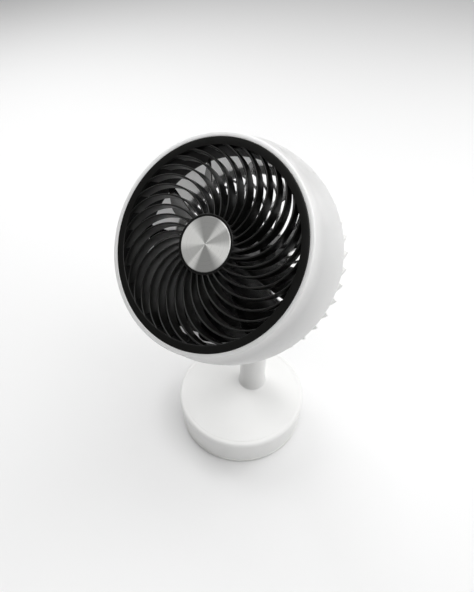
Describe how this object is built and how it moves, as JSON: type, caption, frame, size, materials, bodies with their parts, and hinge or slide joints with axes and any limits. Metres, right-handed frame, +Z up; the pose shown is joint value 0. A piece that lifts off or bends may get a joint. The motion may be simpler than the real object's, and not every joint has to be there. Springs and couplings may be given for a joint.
{
  "type": "desk fan",
  "caption": "Desk air circulator: ball-shaped head with swept-vane grille, tilting on a swinging stalk over a weighted round base.",
  "frame": {"origin": "centre of the foot pad's resting face, on the table", "axes": "+Z up, the fan blows towards -Y at rest, +X to the right of someone who faces the fan"},
  "size_m": [0.1984, 0.1904, 0.3758],
  "materials": {
    "white_shell": "satin moulded",
    "base_lip": "satin moulded",
    "black_grille": "satin moulded",
    "black_blade": "smooth moulded",
    "badge_aluminium": "spun brushed",
    "foot_rubber": "matte",
    "ballast_steel": "raw",
    "screw_steel": "zinc plated",
    "motor_steel": "plated",
    "bearing_bronze": "sintered",
    "bearing_plastic": "smooth moulded",
    "board_green": "solder mask",
    "switch_black": "moulded",
    "control_grey": "satin moulded",
    "lead_black": "soft"
  },
  "bodies": {
    "base": {"base_cover": "white_shell", "base_plate": "base_lip", "foot_pad": "foot_rubber", "ballast_weight": "ballast_steel", "base_screws": "screw_steel", "swivel_bushing": "bearing_plastic", "swing_motor": "motor_steel", "swing_motor_screws": "screw_steel", "control_board": "board_green", "power_inlet": "motor_steel"},
    "stalk": {"neck": "white_shell", "swivel_gear": "bearing_plastic", "swivel_retainer": "screw_steel", "friction_washers": "bearing_plastic"},
    "pinion": {"drive_pinion": "bearing_plastic"},
    "head": {"front_housing": "white_shell", "front_grille": "black_grille", "grille_badge": "badge_aluminium", "air_duct": "black_grille", "rear_guard": "white_shell", "rear_cover": "white_shell", "motor_mount": "motor_steel", "motor_cover": "black_grille", "motor_can": "motor_steel", "motor_stator": "bearing_bronze", "front_bearing": "bearing_bronze", "rear_bearing": "bearing_bronze", "motor_screws": "screw_steel", "housing_screws": "screw_steel", "cover_screws": "screw_steel", "tilt_pin": "screw_steel", "tilt_nut": "screw_steel", "tilt_caps": "white_shell", "speed_switch": "switch_black", "swing_switch": "switch_black", "motor_lead": "lead_black"},
    "rotor": {"impeller": "black_blade", "motor_shaft": "motor_steel", "motor_rotor": "motor_steel", "blade_nut": "screw_steel"},
    "knob": {"speed_knob": "control_grey"},
    "button": {"swing_button": "control_grey"}
  },
  "joints": [
    {"name": "swing", "type": "hinge", "parent": "base", "child": "stalk", "pos_m": [0, 0.0223, 0.04], "axis": [0, 0, 1], "range_deg": [-45, 45]},
    {"name": "pinion_spin", "type": "hinge", "parent": "base", "child": "pinion", "pos_m": [0, -0.0077, 0.03], "axis": [0, 0, 1], "range_deg": [-180, 180]},
    {"name": "tilt", "type": "hinge", "parent": "stalk", "child": "head", "pos_m": [0, 0.04301, 0.22008], "axis": [-1, 0, 0], "range_deg": [-43.9, 46.1]},
    {"name": "impeller_spin", "type": "hinge", "parent": "head", "child": "rotor", "pos_m": [0, -0.0204, 0.2811], "axis": [0, -0.7206, 0.6934], "continuous": true},
    {"name": "speed_turn", "type": "hinge", "parent": "head", "child": "knob", "pos_m": [-0.0135, 0.04927, 0.24389], "axis": [0, 0.7206, -0.6934], "range_deg": [0, 135]},
    {"name": "button_press", "type": "slide", "parent": "head", "child": "button", "axis": [0, -0.7206, 0.6934], "range_m": [0, 0.002], "stiffness_N_per_m": 300, "springref_m": -0.001}
  ],
  "couplings": [
    {"joint": "pinion_spin", "follows": "swing", "ratio": -4}
  ]
}
